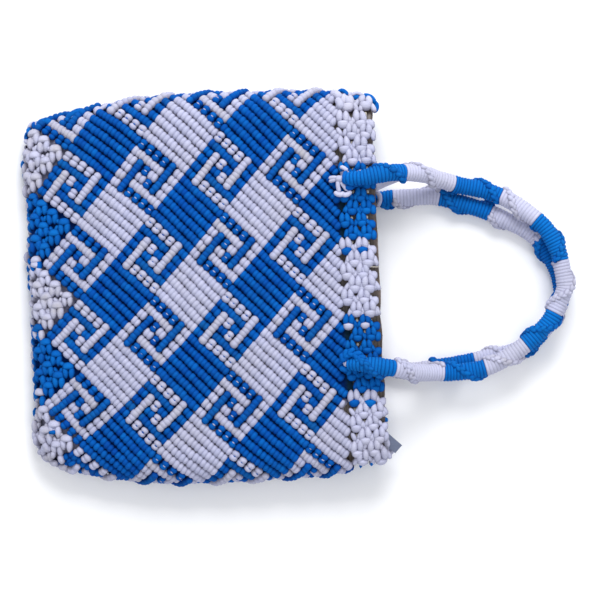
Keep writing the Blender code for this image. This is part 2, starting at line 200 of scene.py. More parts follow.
# Square knots that close the bottom: caps of one patch, from the lattice corner it hangs on
BOTTOM_CAPS = (
    # step along x and along y on the front panel, in millimetres, and whether the lattice bounds it
    (-8.0, 3.1, 1), (-15.9, 10.9, 1), (-15.1, -3.4, 1), (-22.9, 18.2, 1), (-22.3, 3.0, 0),
    (-22.3, -11.3, 1), (-28.8, 24.8, 1), (-28.1, 10.8, 0), (-28.1, -4.2, 0), (-28.9, -18.5, 1),
    (-34.0, 18.2, 0), (-34.0, 3.0, 0), (-34.0, -11.3, 0),
)
BOTTOM_FINISH = (
    # wear and size of the blue and of the white knots
    (0.1, 1.07), (0.5, 1.12),
)
BOTTOM_CLEAR = 0.0030
OTHER_CAP_Y = -17.0
WHITE_SHARES = (
    # the bottom is all white from the first share of the girth to the second and past the third
    0.485, 0.565, 0.955,
)
CORNER_LUMPS = (
    # x, y in millimetres, colour, turn from the edge's way, half length, half width in millimetres
    (-117.2, -85.5, 1, 0.2, 4.2, 3), (-117.4, -92.5, 1, 0, 4.2, 3), (-116.6, -99.4, 1, -0.2, 4.2, 3),
    (-114.2, -105.4, 1, -0.5, 4, 2.9), (-110.4, -110.4, 1, -0.8, 4, 2.8), (-105.4, -114.4, 1, -1, 4, 2.8),
    (-99.4, -117.4, 1, -1.2, 4, 2.8), (-93.2, -119.6, 1, -1.3, 3.8, 2.7), (-112.6, -97, 1, 1.2, 3.6, 2.2),
    (-110, -103.4, 1, 0.5, 3.4, 2.2), (-105.4, -108.6, 1, -0.2, 3.2, 2.1),
    (-100.2, -112.6, 1, 0.4, 3.2, 2.1), (-105, -93.4, 0, -1.2, 3.4, 1.9), (-92.8, -115.4, 0, -0.9, 3.6, 2),
)
CORNER_LIFT = 0.0004
CORNER_WEAR = 0.5
EDGE_COUNT = 26
EDGE_PITCH = 0.0085
EDGE_BEND = 0.0095
EDGE_BEND_Y = 0.092
EDGE_BEND_WIDTH = 0.02
EDGE_LEVEL = 0.0105
BACK_LEVEL = 0.0065
LUMP_HALVES = (
    # half width, length and height of the edge's lumps
    0.0034, 0.0044, 0.0042,
)
LUMP_SINK = 0.002
LUMP_SPLAY = 0.15
LUMP_RISES = (-0.004, 0.006)
LUMP_WEAR = 0.1
LOOP_SINK = 0.0022
FLAT_HEIGHT = 0.0028
BOTTOM_BITS = (
    # lumps of the back panel that show past the bottom edge: x, y in millimetres, colour
    (-113.6, 107.7, 0), (-116.2, 95.6, 0), (-118.5, 90.2, 0), (-117.5, 82.7, 0), (-116.3, 62.2, 1),
    (-116.1, 52.7, 1), (-115.7, 45.9, 1), (-116.9, 34.3, 1), (-119.2, 26.3, 1), (-117.5, 18.7, 0),
    (-117.2, 11.9, 0), (-117.4, 6.5, 0), (-115, -0.5, 0), (-114.6, -6.6, 0), (-114.2, -14.8, 0),
    (-116.5, -20.8, 0), (-117.1, -33.7, 1), (-117.4, -41.2, 1), (-117.1, -48.7, 1), (-115.5, -60.3, 0),
    (-115.8, -65.8, 0), (-116.7, -70.5, 0), (-117.6, -81, 0), (-117.4, -89, 0), (-116.6, -97, 1),
    (-114.4, -103.5, 1),
)
EDGE_LOOPS = (
    # step along x and y from the petals, half sizes along x and y
    (0.0036, 0.0036, 0.0030, 0.0031),
    (0.0045, -0.0036, 0.0024, 0.0035),
)

FREE_STRANDS = (
    # colour, radius, then x, y, z of its points, all in millimetres; colour 2 is the cream cord
    (1, 1.4, (98.7, 78, 39.6), (101.4, 76.9, 40.6), (104, 74.4, 40.8)),
    (1, 1.3, (90.8, 70.6, 37.6), (93.8, 71, 39.4), (97, 70.4, 40.8)),
    (1, 1.3, (90.8, 68.4, 37.6), (93.8, 69, 39.4), (97, 69.8, 40.8)),
    (1, 2.3, (95.2, 70.4, 40.6), (98, 69.8, 41.4), (101.6, 69.6, 41.8)),
    (1, 1.5, (96.8, 68.6, 41.2), (96.7, 64.6, 41), (97.5, 60.6, 40.4)),
    (1, 1.5, (98.8, 68, 41.4), (100.6, 65, 41.2), (103.2, 61.4, 40.4)),
    (1, 1.7, (94, 61, 39.6), (96.6, 59.3, 40.8), (99, 59.2, 41.2), (100.4, 60.8, 40.6)),
    (1, 1.7, (98.8, 59.6, 40.4), (101.4, 58.7, 41), (103.8, 59.6, 40.6), (105, 61.6, 39.8)),
    (1, 0.8, (100.9, 66, 41.4), (102.9, 67.6, 41.8)),
    (0, 1.7, (102.5, 74.2, 41), (101.6, 72.2, 43.6), (101.2, 69.6, 44.4), (101.2, 66.4, 42.4)),
    (0, 2.2, (101.4, 64.1, 40.6), (104.2, 63.8, 41.4), (107.4, 64.2, 41.2)),
    (1, 2.4, (94.9, -55, 41.4), (96.8, -55.2, 41.6), (99.6, -55.6, 41.6)),
    (0, 2.1, (92.4, -58.1, 39), (95.1, -59.1, 39.8), (98, -59.8, 39.4)),
    (0, 1.5, (99.8, 129.2, 24), (102.2, 130.6, 25), (104.6, 129.2, 26.5), (106.2, 126.6, 27.5)),
    (1, 2.6, (95.2, 129.4, 25), (98.6, 128, 28.5), (101.4, 124.8, 31.5)),
    (1, 2.5, (98.4, 125, 30.5), (100.6, 121.4, 33), (101, 117.8, 34.5)),
    (1, 2.2, (103.6, 126.2, 28.5), (106, 123.4, 31), (107.4, 120.2, 33)),
    (1, 1.1, (108.4, 126.8, 28), (112.5, 128.3, 28), (117, 126.4, 28)),
    (0, 2.2, (109, 125.2, 26), (112, 125.6, 26.5), (115.4, 124.8, 26)),
    (0, 1.9, (116.6, 126.4, 22), (120.2, 126, 23), (123, 124, 23), (124.4, 120.8, 22)),
    (0, 2.2, (122.8, 122.2, 20), (125.2, 120, 20.5), (124.8, 117, 20.5), (122, 115.4, 20)),
    (0, 1.8, (116.6, -92.6, 20), (120.2, -94.4, 22), (123.8, -96.4, 20)),
    (1, 2.4, (118, -120.2, 18), (123, -118.8, 18.5), (127.2, -115.6, 17.5)),
    (1, 2.1, (117, -116.4, 20), (121.4, -115.6, 21), (124.6, -112.6, 20)),
    (1, 2.6, (119.8, -107.4, 27), (122, -110.6, 27), (122, -114.4, 25)),
    (0, 2.3, (110.6, -124.4, 28), (113, -125, 27.5)), (0, 2.2, (115.6, -124, 27.5), (117.4, -124.2, 27)),
    (0, 2.2, (103.2, -125.6, 27.5), (105, -126, 27)),
    (0, 2.4, (-108.1, 111, 13), (-107, 115.6, 14.5), (-104.2, 118.3, 16), (-100.2, 118.8, 17),
     (-96.6, 117, 18)),
    (0, 2.6, (-86.7, 118.8, 17), (-83.2, 122.1, 18), (-78.3, 124.2, 18.5), (-73.6, 123.7, 18.5)),
    (1, 1.5, (-65.5, 123.5, 19), (-60, 127, 19), (-53, 128.4, 19)),
    (1, 3.4, (120.8, 63.8, 26), (126, 65.8, 26.5), (131.5, 67.8, 28), (136.5, 69.4, 30), (140.5, 70.4, 32)),
    (1, 1.6, (122.6, 61.4, 18), (125, 58.4, 17), (125.2, 54.4, 16), (123.2, 50.4, 17)),
    (2, 0.25, (122, 9, 39.4), (118.8, 9.1, 40.6), (115.8, 9.3, 40.4)),
)
STRAND_SIDES = 10
STRAND_TURNS = 6.0
STRAND_TIP = 0.00015
LEAST_TIP = 0.02
ROOT_HITCHES = (
    # x, y, height in millimetres of the hitches that arch over the lower root, turn from +x
    (95.3, -51.8, 43.6, 1.1), (97.5, -49.4, 44.6, 0.7), (100.8, -48.3, 45.8, 0.1),
    (104.2, -49.9, 47.2, -0.5), (107, -52.4, 48, -0.8), (109, -55.2, 48.4, -0.9),
    (111.2, -58.4, 47.6, -0.9), (114, -61.2, 45.6, -0.7),
)
HITCH_CORDS = (
    # step across the hitch and tilt of its two cords
    (0.0011, 0.6), (-0.0011, -0.5),
)
HITCH_REACH = 0.0012
HITCH_RADIUS = 0.0018
HITCH_TIP = 0.0002
HITCH_SIDES = 8

# Bed of carrier cords, painted darker than the cords as shade between the beads
BED_STEPS = (0.0003, 0.001, 0.003, 0.006)
BED_START = 0.010
BED_STATIONS = 70
BED_COLUMNS = 360
BED_PALE = 0.55
BED_EDGE = 0.001

# Lining
LINING_THICKNESS = 0.0013
LINING_START_X = -0.1062
LINING_MOUTH_X = 0.1220
LINING_COLUMNS = 96
LINING_STEPS = (0.0004, 0.002, 0.005, 0.010, 0.018)
LINING_START = 0.03
LINING_STATIONS = 40
LINING_WAVES = (
    # height, number and phase of the waves of the rim
    (0.0006, 9, 0.0), (0.0004, 23, 1.0),
)
STRIPE_PITCH = 0.0021
BRAID = (7.5, 5.0)

# Handles
HANDLE_RADIUS = 0.0052
WRAP_PITCH = 0.00225
WRAP_SWELLS = (0.00056, 0.00046)
# Painted shade in the grooves between turns, for blue and for white
WRAP_PAINTED_SHADES = (0.75, 0.36)
WRAP_PROFILE = (
    # part of a turn, share of the swell that is missing there
    (0.02, 1.0), (0.14, 0.42), (0.30, 0.10), (0.50, 0.0), (0.70, 0.10), (0.86, 0.42),
)
WRAP_FULLNESS = 0.0007
WRAP_SIDES = 24
RIDGE_TURN = 0.038
RIDGE_STEP = 0.0029
RIDGE_LUMPS = (
    # step round the handle, turn from its length, half length, half width, half height
    (-0.16, -0.25, 0.0030, 0.0019, 0.0023),
    (0.20, -1.15, 0.0026, 0.0017, 0.0020),
)
RIDGE_SWELL = 0.0012
RIDGE_WIDTH = 0.62
RIDGE_SEAT = 0.0012
CAP_SHARE = 0.55
WRAP_SPREAD = 0.00008
RIDGE_SPREAD = 0.06
RIDGE_WEAR = 0.35
LEAST_RIDGE = 0.55
WRAP_STRANDS = 5.2
WRAP_END = 1e-5
WRAP_CLOSE = 0.02
FRONT_ROUTE = (
    # x, y, height of the centre line in millimetres
    (101.8, 69.7, 41.4), (104.5, 69.7, 42.9), (108.5, 69.8, 44.1), (113.3, 69.9, 44.7), (121.5, 70.9, 44.6),
    (129.7, 71.9, 43.2), (139.3, 72.5, 38.5), (156.2, 70.8, 27), (164.9, 67.7, 21.5), (181.1, 62.5, 15),
    (198.6, 58, 14), (213.2, 51.3, 15.5), (226.4, 41.5, 19), (237.5, 30.5, 20.7), (245, 15.8, 20.8),
    (247, 6.9, 20.8), (249, -8, 20.8), (247.8, -14.2, 20.8), (244.1, -21.5, 20.8), (236.8, -33.5, 20.8),
    (224.7, -44.9, 20.8), (210.7, -54.5, 20.5), (194.7, -62.3, 20.3), (177.5, -64.9, 20.5),
    (167.3, -65.2, 21.2), (158.5, -64.8, 23.5), (150.3, -64.4, 28), (141.5, -63.4, 34.5),
    (133.5, -61, 40.6), (125.4, -59.4, 44), (117.3, -58, 44.7), (108.5, -56.7, 44.7), (104, -56.3, 43.7),
    (101, -56.1, 42.5), (98.3, -56, 41.2),
)
BACK_ROUTE = (
    (99, 52, 12.7), (99, 52, 10), (99.3, 52, 7.3), (101, 52.1, 5), (104.5, 52.4, 4.2), (111, 53.2, 4.6),
    (120, 54.8, 5.7), (128.4, 56, 6.6), (138.6, 56.1, 7), (152.2, 56.3, 7), (162.4, 55.9, 7),
    (172.5, 53.5, 7), (185.9, 48.9, 7), (199.3, 43.8, 7), (212.6, 37.1, 7), (223, 31.5, 7),
    (231.2, 25.3, 7), (237.4, 17, 7), (243.3, 6.4, 7), (246.9, -4, 7), (247.8, -13.5, 7), (246.2, -21.5, 7),
    (242, -29, 7), (233.1, -40.5, 7), (223.1, -49, 7), (211, -53.5, 7), (196.3, -56.2, 7),
    (178.5, -59.2, 7), (160.6, -61.5, 7), (140.3, -63.2, 7), (126, -60.4, 6.4), (118, -58.5, 5.5),
    (110, -55.6, 4.6), (104.5, -52.8, 4.2), (101, -52.6, 5), (99.3, -52.5, 7.3), (99, -52.5, 10),
    (99, -52.5, 12.7),
)
FRONT_SEGMENTS = (
    # x and y of its last place, colour, length after which the ridge crosses on top, in millimetres
    (141.5, 72, 0, 34), (175.7, 63.7, 1, 19), (208.3, 53.5, 0, 28.5), (232.2, 37.5, 1, 9.5),
    (245.5, 8, 0, 28.5), (239, -26, 1, 24), (220, -48, 0, 14), (192.5, -63.5, 1, 20), (163.2, -65, 0, 15.5),
    (129, -60, 1, 32), (98.3, -56, 0, 19),
)
BACK_SEGMENTS = (
    (134.5, 56.1, 0, 30), (166.5, 55, 1, 36), (201, 43, 0, 6), (233, 23, 1, 37), (246.2, -21.5, 0, 0),
    (233.1, -40.5, 1, 20), (218.5, -51, 0, 23.5), (186, -58, 1, 12), (156, -61.5, 0, 22), (124, -57, 1, 12),
    (99, -52.5, 0, 20),
)

# Stage
METRES_PER_PIXEL = 0.00068
PHOTO_ROLL = math.radians(2.5)
PHOTO_SIDE = 600
PHOTO_ORIGIN = (200.0, 288.0)
SHARP_HEIGHT = 0.034
CAMERA_HEIGHT = 2.2
SENSOR = 36.0
FLOOR_LEVEL = -0.0002
FLOOR_COLOUR = (0.93, 0.93, 0.94)
SURROUND = (0.95, 0.97, 1.0, 1.0)
SURROUND_STRENGTH = 0.76


def section(x, columns=OUTLINE_COLUMNS, inset=0.0, start_x=BOTTOM_X):
    """Closed outline at x as rows of (y, z): over the top from +Y to -Y, then back underneath."""
    half, low, high = (np.interp(x, BODY_SECTIONS[:, 0], BODY_SECTIONS[:, k]) for k in (1, 2, 3))
    distance = x - start_x
    half -= inset + CORNER_RADIUS * (1.0 - quarter_round(distance, CORNER_RADIUS))
    low += inset
    high -= inset
    fold = low + FOLD_LEVEL * (high - low)
    closing = quarter_round(distance, EDGE_RADIUS)
    reach = FOLD_REACH - inset / 2
    y = np.cos(np.linspace(0.0, math.pi, columns + 1))
    into_fold = np.maximum(0.0, (np.abs(y) * half - (half - reach)) / reach)
    rounding = np.sqrt(np.maximum(0.0, 1.0 - into_fold ** 2))
    crown = (1.0 - CROWN) * rounding + CROWN * (1.0 - y * y)
    over = np.column_stack([y * half, fold + (high - fold) * closing * crown])
    under = np.column_stack([-y * half, fold - (fold - low) * closing * rounding])
    return np.vstack([over[:-1], under[:-1]])


def quarter_round(distance, radius):
    """Rise of a quarter circle, from 0 at the edge to 1 at its radius."""
    if distance >= radius:
        return 1.0
    return math.sqrt(max(0.0, 1.0 - (1.0 - distance / radius) ** 2))


def lengths_along(points):
    """Length from the first point of a line to each of its points."""
    return np.append(0.0, np.cumsum(np.linalg.norm(np.diff(points, axis=0), axis=1)))


SHARES = np.linspace(0.0, 1.0, GRID_SHARES)


def make_surface_grid():
    """Points of the outer surface by station and by share of the girth, and the girths."""
    stations = np.linspace(BOTTOM_X + 1e-5, MOUTH_X, GRID_STATIONS)
    grid = np.empty((GRID_STATIONS, GRID_SHARES, 3))
    girths = np.empty(GRID_STATIONS)
    for row, x in enumerate(stations):
        outline = section(x)
        outline = np.vstack([outline, outline[:1]])
        lengths = lengths_along(outline)
        girths[row] = lengths[-1]
        y, z = (np.interp(SHARES * lengths[-1], lengths, outline[:, axis]) for axis in (0, 1))
        near = (np.clip((CORNER_X - x) / CORNER_LENGTH, 0, 1)
                * np.clip((np.abs(y) - CORNER_Y) / CORNER_WIDTH, 0, 1))
        y = y + near * np.where(y > 0, CORNER_PUSH, CORNER_DRAW)
        grid[row] = np.column_stack([np.full(GRID_SHARES, x), y, z])
    return stations, grid, girths


STATIONS, SURFACE, GIRTHS = make_surface_grid()


def sample_surface(x, share):
    """Points of the outer surface, between the grid's own points."""
    row = np.clip((x - STATIONS[0]) / (STATIONS[1] - STATIONS[0]), 0, GRID_STATIONS - 1.001)
    column = (share % 1.0) * (GRID_SHARES - 1)
    i, j = row.astype(int), column.astype(int)
    a, b = (row - i)[:, None], (column - j)[:, None]
    return ((1 - a) * (1 - b) * SURFACE[i, j] + a * (1 - b) * SURFACE[i + 1, j]
            + (1 - a) * b * SURFACE[i, j + 1] + a * b * SURFACE[i + 1, j + 1])


def surface_change(x, share, step_x, step_s):
    """How the surface changes from one step before a place to one step after it."""
    return sample_surface(x + step_x, share + step_s) - sample_surface(x - step_x, share - step_s)


def unit(vectors):
    """Vectors at length 1."""
    return vectors / np.maximum(np.linalg.norm(vectors, axis=-1, keepdims=True), 1e-12)


def turned(first, second, angle):
    """Two crossing steps turned by an angle, the first one towards the second."""
    c, s = np.cos(angle), np.sin(angle)
    return c * first + s * second, c * second - s * first


def angles(count):
    """Even angles round a ring."""
    return 2 * math.pi * np.arange(count) / count


def jitter(count, spread):
    """Small random steps about 0."""
    return draw.normal(0.0, spread, count)


def surface_frame(x, share):
    """Points, outward normals and the unit steps towards the mouth and round the girth."""
    x, share = np.atleast_1d(x).astype(float), np.atleast_1d(share).astype(float)
    x = np.clip(x, BOTTOM_X + PROBE_X, MOUTH_X - PROBE_X)
    point = sample_surface(x, share)
    step_x = unit(surface_change(x, share, PROBE_X, 0.0))
    step_s = unit(surface_change(x, share, 0.0, PROBE_SHARE))
    normal = unit(np.cross(step_s, step_x))
    return point, normal, step_x, step_s


def share_of(x, y, over):
    """Share of the girth at which the upper or the lower panel has this y."""
    row = int(np.clip((x - STATIONS[0]) / (STATIONS[1] - STATIONS[0]), 0, GRID_STATIONS - 1))
    line = SURFACE[row, :, 1]
    fold = int(np.argmin(line))
    if over:
        return float(np.interp(-y, -line[:fold + 1], SHARES[:fold + 1]))
    return float(np.interp(y, line[fold:], SHARES[fold:]))


def lattice_to_tube(m, n):
    """Place of lattice position (m, n) as x and share of the girth."""
    along = (m - n) / 2
    around = (m + n) / GIRTH_CELLS + LATTICE_PHASE + LATTICE_LEAN * along
    around = around - LATTICE_SWAY * np.sin(2 * math.pi * (around - 0.25))
    return LATTICE_START_X + CELL_STEP_X * along, around


def tube_to_lattice(x, share):
    """Lattice position (m, n) at x and a share of the girth."""
    along = (x - LATTICE_START_X) / CELL_STEP_X
    around = share
    for _ in range(4):
        around = share + LATTICE_SWAY * math.sin(2 * math.pi * (around - 0.25))
    total = (around - LATTICE_PHASE - LATTICE_LEAN * along) * GIRTH_CELLS
    return total / 2 + along, total / 2 - along


class Batch:
    """Shapes that are joined into one mesh, with their strand coordinates, random tints about a painted light
    level, painted shade and wear.
    """

    def __init__(self, painted_light_level=0.0):
        self.painted_light_level = painted_light_level
        self.count = 0
        self.lists = {key: [] for key in ("points", "corners", "sizes", "strands", "Tint", "PaintedShade", "Wear")}

    def stamp(self, shape, origins, right, ahead, up, wear=0.0):
        """Add a copy of a shape at each origin, with its axes given as vectors."""
        points, faces, strand, painted_shade = shape
        origins = np.atleast_2d(origins)
        copies = len(origins)
        if copies == 0:
            return
        placed = (origins[:, None] + points[:, 0:1] * right[:, None] + points[:, 1:2] * ahead[:, None]
                  + points[:, 2:3] * up[:, None])
        corners = np.concatenate(faces)
        offsets = self.count + np.arange(copies)[:, None] * len(points)
        shifts = draw.uniform(0.0, STRAND_SHIFT, (copies, 1, 2))
        # Random tints about the batch's painted light level; the shape's painted shade and the wear follow
        tints_and_painted_light = draw.normal(self.painted_light_level, TINT_SPREAD, copies)
        for key, values in (
            ("points", placed.reshape(-1, 3)),
            ("corners", (corners + offsets).ravel()),
            ("sizes", np.tile([len(face) for face in faces], copies)),
            ("strands", (strand[corners] + shifts).reshape(-1, 2)),
            ("Tint", np.repeat(tints_and_painted_light, len(points))),
            ("PaintedShade", np.tile(painted_shade, copies)),
            ("Wear", np.repeat(np.broadcast_to(wear, copies), len(points))),
        ):
            self.lists[key].append(values)
        self.count += copies * len(points)

    def add(self, shape):
        """Add one shape as it is."""
        self.stamp(shape, np.zeros((1, 3)), *np.eye(3)[:, None])


def rested(points):
    """Points with the underside pressed flat on the surface that the bag lies on."""
    low = points[:, 2] < REST_HEIGHT
    points[low, 2] = REST_HEIGHT * np.exp(points[low, 2] / REST_HEIGHT - 1.0)
    return points


def make_object(name, data):
    """Put a mesh, a camera or a lamp into the scene."""
    item = bpy.data.objects.new(name, data)
    bpy.context.scene.collection.objects.link(item)
    return item


def make_piece(name, batch, material, node_name):
    """Turn a batch into one object that rides on the root in the place of a CAD node."""
    lists = {key: np.concatenate(values) for key, values in batch.lists.items()}
    sizes = lists["sizes"]
    mesh = bpy.data.meshes.new(name)
    mesh.vertices.add(len(lists["points"]))
    mesh.vertices.foreach_set("co", (rested(lists["points"]) + BAG_PLACE).ravel())
    mesh.loops.add(len(lists["corners"]))
    mesh.loops.foreach_set("vertex_index", lists["corners"])
    mesh.polygons.add(len(sizes))
    mesh.polygons.foreach_set("loop_start", np.append(0, np.cumsum(sizes)[:-1]))
    mesh.polygons.foreach_set("loop_total", sizes)
    mesh.update(calc_edges=True)
    mesh.validate()
    mesh.uv_layers.new(name="Strand").data.foreach_set("uv", lists["strands"].ravel())
    # Stored per point: random tint with the part's painted light level, painted shade, and wear
    for label in ("Tint", "PaintedShade", "Wear"):
        mesh.attributes.new(label, "FLOAT", "POINT").data.foreach_set("value", lists[label])
    mesh.polygons.foreach_set("use_smooth", np.ones(len(sizes), bool))
    mesh.materials.append(material)
    piece = make_object(name, mesh)
    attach(piece, "root")
    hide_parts(node_name)
    return piece


def ring_faces(rows, columns):
    """Four-sided faces between rows of points, each row closed to a ring."""
    near = np.arange(rows * columns).reshape(rows, columns)
    after = np.roll(near, -1, axis=1)
    return np.stack([near[:-1], after[:-1], after[1:], near[1:]], axis=-1).reshape(-1, 4)


def tube_faces(rows, columns):
    """Faces of a tube of rings with one face over each end."""
    ring = np.arange(columns)
    return [*ring_faces(rows, columns), ring[::-1], (rows - 1) * columns + ring]


def bead_shape(segments, latitudes, squareness=2.8, point=0.0, front=1.0):
    """Upper part of a pillow with its pole up.

    A point narrows it towards +y, and a front below 1 cuts it short towards +y.
    """
    c, s = np.cos(angles(segments)), np.sin(angles(segments))
    plump = (np.abs(c) ** squareness + np.abs(s) ** squareness) ** (-1.0 / squareness)
    rings = [np.array(((0.0, 0.0, 1.0),))]
    for latitude in np.radians(latitudes):
        reach = math.sin(latitude)
        slim = 1.0 - point * np.maximum(0.0, s * reach * plump) ** 2
        forward = reach * s * plump * np.where(s > 0, front, 1.0)
        rings.append(np.column_stack([reach * c * plump * slim, forward, 0.0 * c + math.cos(latitude)]))
    points = np.vstack(rings)
    first = 1 + np.arange(segments)
    faces = [*np.column_stack([0 * first, first, np.roll(first, -1)]),
             *(1 + ring_faces(len(latitudes), segments)[:, [0, 3, 2, 1]])]
    # Painted shade: each bead darkens from this height down to its base, as in the creases between beads
    painted_shade = np.clip((PAINTED_SHADE_TOP - points[:, 2]) / PAINTED_SHADE_DEPTH, 0.0, 1.0) ** PAINTED_SHADE_POWER
    return points, faces, points[:, :2] * BEAD_STRANDS, painted_shade


FINE_BEAD = bead_shape(12, (26, 52, 76, 100))
ROUND_BEAD = bead_shape(12, (24, 48, 70, 98), 2.4)
PLAIN_BEAD = bead_shape(10, (32, 64, 98), 2.4)
SMALL_BEAD = bead_shape(8, (40, 92))
RIDGE_BEAD = bead_shape(8, (38, 70, 100), 2.2)
PETAL_BEAD = bead_shape(12, (26, 52, 76, 100), 2.3, 0.48)
CUP_BEAD = bead_shape(12, (26, 52, 76, 100), 2.5, 0.0, 0.42)


def smooth_route(points):
    """Even points, and their lengths, on a smooth curve through points given in millimetres."""
    points = np.array(points) / 1000
    last = len(points) - 1
    t = np.arange(ROUTE_PARTS)[:, None] / ROUTE_PARTS
    fine = []
    for index in range(last):
        p0, p1, p2, p3 = (points[min(max(index + k, 0), last)] for k in (-1, 0, 1, 2))
        fine.append(0.5 * (2 * p1 + (p2 - p0) * t + (2 * p0 - 5 * p1 + 4 * p2 - p3) * t ** 2
                           + (3 * p1 - p0 - 3 * p2 + p3) * t ** 3))
    fine = np.vstack([*fine, points[-1:]])
    lengths = lengths_along(fine)
    wanted = np.linspace(0.0, lengths[-1], round(lengths[-1] / ROUTE_STEP) + 1)
    return np.column_stack([np.interp(wanted, lengths, fine[:, axis]) for axis in range(3)]), wanted


def strand_shape(path, radii, sides):
    """Round closed cord along a path that nowhere stands upright."""
    ahead = unit(np.gradient(path, axis=0))
    left = unit(np.cross(UP, ahead))
    out = turned(left[:, None], np.cross(ahead, left)[:, None], angles(sides)[:, None])[0]
    points = (path[:, None] + radii[:, None, None] * out).reshape(-1, 3)
    strand = np.stack(np.broadcast_arrays(np.arange(sides) / sides * STRAND_TURNS,
                                          lengths_along(path)[:, None] * 1000.0), axis=-1)
    return points, tube_faces(len(path), sides), strand.reshape(-1, 2), np.zeros(len(points))


def bow(y):
    """How far the band at the mouth bends away at y, 0 in the middle and about 1 at the corners."""
    return np.minimum(BOW_LIMIT, (y / BOW_WIDTH) ** 2)


def lattice_end(y):
    """Where the lattice stops: it bows like the band and leaves a hole at each row of the band."""
    notch = 0.5 + 0.5 * np.cos(2 * math.pi * y / MESH_PITCH)
    return LATTICE_END_X + MOUTH_BOW * bow(y) - HOLE_REACH * notch ** 3


def lattice_beads():
    """Every bead of the lattice, as columns of kind, colour, m, n, whether its ridge falls, wear."""
    beads = []
    for total in range(GIRTH_CELLS):
        for diagonal in range(FIRST_DIAGONAL, LAST_DIAGONAL + 1):
            if (total - diagonal) % 2:
                continue
            for j in range(KNOTS_PER_CELL):
                for i in range(KNOTS_PER_CELL):
                    beads += knot_beads((total + diagonal) // 2, (total - diagonal) // 2, i, j)
    return (np.array(column) for column in zip(*beads))


def knot_beads(u, v, i, j):
    """The two beads of one knot, and the fleck of carrier cord between them."""
    fret = (u + v) % 2 == 1
    falls = not fret or FRET[j][i] == "\\"
    colour = (u if falls else v) % 2
    kind, wear = "ridge", 0.0
    if not falls:
        barred = any(i == column and first <= j <= last for column, first, last in BARS)
        kind, wear = ("bar", BAR_WEAR) if barred else ("single", 0.0)
    elif fret and FRET[j].count("\\") > 3:
        wear = FRAME_WEAR
    beads = []
    for half in (0.25, 0.75):
        m = u + (i + (half if falls else 0.5)) / KNOTS_PER_CELL
        n = v + (j + (0.5 if falls else half)) / KNOTS_PER_CELL
        beads.append((kind, colour, m, n, falls, wear))
    if kind == "single":
        beads.append(("fleck", 1 - colour, m, v + (j + 0.5) / KNOTS_PER_CELL, falls, 0.0))
    return beads


def settle(m, n):
    """Place of lattice positions on the pouch; the front panel has settled a little."""
    x, share = lattice_to_tube(m, n)
    turns = np.floor(share)
    share = share - turns
    m, n = m - turns * GIRTH_CELLS / 2, n - turns * GIRTH_CELLS / 2
    spread = (m[:, None] - CORNER_SHIFTS[:, 0]) ** 2 + (n[:, None] - CORNER_SHIFTS[:, 1]) ** 2
    weight = np.exp(-spread / (2 * SHIFT_REACH ** 2))
    shift = weight @ CORNER_SHIFTS[:, 2:] / 1000 / (weight.sum(axis=1) + SHIFT_REST)[:, None]
    place = np.clip(x, BOTTOM_X + PROBE_X, MOUTH_X - PROBE_X)
    slope = surface_change(place, share, 0.0, PROBE_SHARE)[:, 1] / (2 * PROBE_SHARE)
    fade = np.clip(np.minimum(share, 0.5 - share) / FOLD_FADE, 0.0, 1.0)
    return x + fade * shift[:, 0], share + fade * shift[:, 1] / np.minimum(slope, -LEAST_SLOPE)


def make_lattice(batches):
    """Lay every bead of the lattice on the pouch."""
    kinds, colours, m, n, falls, wear = lattice_beads()
    x, share = settle(m, n)
    point = surface_frame(x, share)[0]
    ahead = surface_frame(*settle(m + LATTICE_PROBE * falls, n + LATTICE_PROBE * ~falls))[0] - point
    inside = (x < lattice_end(point[:, 1])) & (x > BOTTOM_X + LATTICE_CLEAR)
    x = x + jitter(len(x), PLACE_SPREAD)
    share = share + jitter(len(x), SHARE_SPREAD)
    point, normal, _, _ = surface_frame(x, share)
    ahead = unit(ahead - np.sum(ahead * normal, axis=1, keepdims=True) * normal)
    across = np.cross(normal, ahead)
    twist = jitter(len(x), TURN_SPREAD)
    for kind, (half_long, half_wide, half_high, depth, lean) in BEADS.items():
        shown = inside & (kinds == kind) & ((x > FLECK_START_X) | (kind != "fleck"))
        for (colour, over), batch in batches.items():
            chosen = np.flatnonzero(shown & (colours == colour) & ((share % 1.0 < 0.5) == over))
            along, aside = turned(ahead[chosen], across[chosen], (twist[chosen] + lean)[:, None])
            grow = 1.0 + jitter(len(chosen), SIZE_SPREAD)[:, None]
            wide = half_wide * (WHITE_SPREAD if colour else 1.0)
            bead = SMALL_BEAD if kind == "fleck" else ROUND_BEAD if over else PLAIN_BEAD
            batch.stamp(bead, point[chosen] - depth * normal[chosen], along * half_long * grow,
                        aside * wide * grow, normal[chosen] * half_high * grow, wear[chosen])


OUTER_STEP = 2.5
EAR_STEP = 5.5
MOUTH_PARTS = (
    # shape, colour it takes, step aside, step ahead, lean, half width, half length, half height,
    # depth of the middle in millimetres; parts with a step aside come in pairs
    (PETAL_BEAD, "petal", 1.85, 0.1, 0.09, 2.20, 4.10, 3.0, 0.8),
    (CUP_BEAD, "cap", 0.0, -3.6, 0.0, 3.50, 3.60, 3.1, 0.7),
    (FINE_BEAD, "cap", 1.75, 6.0, -0.42, 1.55, 3.00, 2.3, 1.3),
    (FINE_BEAD, "petal", 4.3, -3.3, 0.50, 1.55, 3.20, 2.2, 1.8),
    (SMALL_BEAD, "core", 0.0, -8.9, 0.0, 1.05, 1.35, 0.9, 2.2),
)
BOTTOM_PARTS = (
    (CUP_BEAD, "cap", 0.0, 0.9, 0.0, 4.00, 3.50, 3.0, 0.8),
    (PETAL_BEAD, "petal", 1.95, 4.4, 0.03, 2.15, 4.10, 2.8, 1.0),
    (FINE_BEAD, "petal", 4.9, -1.7, 0.95, 1.55, 3.60, 2.3, 1.6),
    (FINE_BEAD, "petal", 5.2, 3.6, -0.50, 1.50, 2.60, 2.0, 2.0),
)


